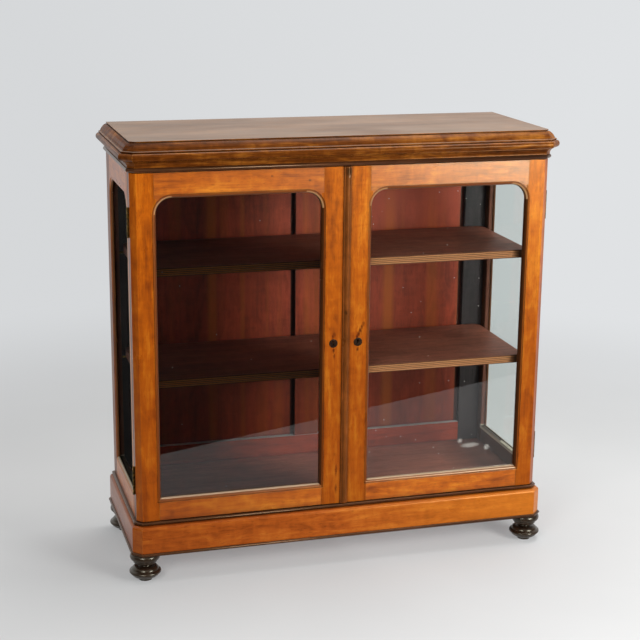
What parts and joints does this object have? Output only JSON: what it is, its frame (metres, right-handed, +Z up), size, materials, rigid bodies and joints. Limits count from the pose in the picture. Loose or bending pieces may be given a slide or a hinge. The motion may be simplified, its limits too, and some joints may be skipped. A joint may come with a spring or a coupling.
{
  "type": "bookcase with glass doors",
  "caption": "Low glazed bookcase with a moulded top, canted plinth on turned feet, glazed sides, panelled back, loose shelves and hinged, lockable glass doors.",
  "frame": {"origin": "on the floor, at the centre of the whole piece in plan", "axes": "+X to the right seen from the front, along the width; +Y towards the back; +Z up"},
  "size_m": [1.0646, 0.393, 1.05],
  "materials": {
    "show_wood": "french-polished satin walnut",
    "dark_moulding_wood": "dark-stained polished wood",
    "ebonised_wood": "ebonised and polished",
    "inside_wood": "oiled, dull",
    "back_panel_wood": "red-brown stained",
    "secondary_wood": "unfinished softwood",
    "brass": "aged",
    "steel": "dulled",
    "iron": "dark, worn smooth",
    "glass": "clear, old drawn sheet"
  },
  "bodies": {
    "cabinet": {"back_muntin": "inside_wood", "back_panels": "back_panel_wood", "back_rails": "inside_wood", "back_stiles": "inside_wood", "bottom_board": "inside_wood", "corner_blocks": "secondary_wood", "cornice_bead": "dark_moulding_wood", "cornice_front": "show_wood", "cornice_left": "show_wood", "cornice_right": "show_wood", "foot_back_left": "ebonised_wood", "foot_back_right": "ebonised_wood", "foot_front_left": "ebonised_wood", "foot_front_right": "ebonised_wood", "front_top_rail": "inside_wood", "hinge_leaves_cabinet": "brass", "hinge_screws_cabinet": "steel", "plinth_back": "secondary_wood", "plinth_beads": "dark_moulding_wood", "plinth_front": "show_wood", "plinth_left": "show_wood", "plinth_right": "show_wood", "shelf_lower": "inside_wood", "shelf_pins": "brass", "shelf_upper": "inside_wood", "side_glass_beads": "show_wood", "side_left_back_stile": "show_wood", "side_left_bottom_rail": "show_wood", "side_left_front_stile": "show_wood", "side_left_glass": "glass", "side_left_top_rail": "show_wood", "side_right_back_stile": "show_wood", "side_right_bottom_rail": "show_wood", "side_right_front_stile": "show_wood", "side_right_glass": "glass", "side_right_top_rail": "show_wood", "top_board": "show_wood"},
    "door_left": {"door_left_bottom_rail": "show_wood", "door_left_glass": "glass", "door_left_glass_beads": "show_wood", "door_left_hinge_stile": "show_wood", "door_left_meeting_stile": "show_wood", "door_left_top_rail": "show_wood", "hinge_leaves_door_left": "brass", "hinge_screws_door_left": "steel", "escutcheon_left": "iron", "flush_bolt_plate": "brass"},
    "door_right": {"door_right_bottom_rail": "show_wood", "door_right_glass": "glass", "door_right_glass_beads": "show_wood", "door_right_hinge_stile": "show_wood", "door_right_meeting_stile": "show_wood", "door_right_top_rail": "show_wood", "hinge_leaves_door_right": "brass", "hinge_screws_door_right": "steel", "escutcheon_right": "iron", "astragal": "dark_moulding_wood", "lock_case": "iron"},
    "lock_bolt": {"lock_bolt": "iron"},
    "flush_bolt": {"flush_bolt": "brass"}
  },
  "joints": [
    {"name": "door_left_swing", "type": "hinge", "parent": "cabinet", "child": "door_left", "pos_m": [-0.511, -0.147, 0.564], "axis": [0, 0, -1], "range_deg": [0, 175]},
    {"name": "door_right_swing", "type": "hinge", "parent": "cabinet", "child": "door_right", "pos_m": [0.511, -0.147, 0.564], "axis": [0, 0, 1], "range_deg": [0, 175]},
    {"name": "lock_bolt_slide", "type": "slide", "parent": "door_right", "child": "lock_bolt", "axis": [-1, 0, 0], "range_m": [0, 0.007]},
    {"name": "flush_bolt_slide", "type": "slide", "parent": "door_left", "child": "flush_bolt", "axis": [0, 0, 1], "range_m": [0, 0.008]}
  ]
}
